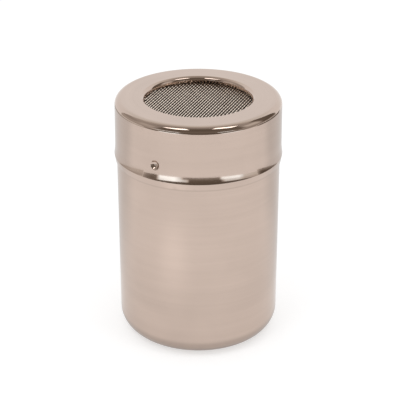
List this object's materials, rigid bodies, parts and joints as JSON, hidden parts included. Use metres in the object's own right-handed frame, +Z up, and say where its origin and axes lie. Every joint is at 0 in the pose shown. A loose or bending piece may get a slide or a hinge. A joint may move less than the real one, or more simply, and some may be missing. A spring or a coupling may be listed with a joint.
{
  "type": "flour shaker",
  "caption": "Round sheet steel flour shaker: a drawn cup with a turn-to-lock lid whose wide top hole is closed by a fine wire screen.",
  "frame": {"origin": "centre of the foot that the shaker stands on", "axes": "+Z up along the shaker's axis, -Y towards the viewer of the picture, +X to the right of the picture"},
  "size_m": [0.07, 0.07, 0.105],
  "materials": {
    "cup_steel": "soft polish",
    "lid_steel": "soft polish",
    "wire_steel": "drawn wire, woven",
    "ring_steel": "mill finish"
  },
  "bodies": {
    "cup": {"cup": "cup_steel"},
    "screen": {"mesh_screen": "wire_steel"},
    "lid": {"lid_shell": "lid_steel", "screen_ring": "ring_steel"}
  },
  "joints": [
    {"name": "lid_lift", "type": "slide", "parent": "cup", "child": "screen", "axis": [0, 0, 1], "range_m": [0, 0.03]},
    {"name": "lid_twist", "type": "hinge", "parent": "screen", "child": "lid", "pos_m": [0, 0, 0.09], "axis": [0, 0, 1], "range_deg": [-25, 0]}
  ]
}
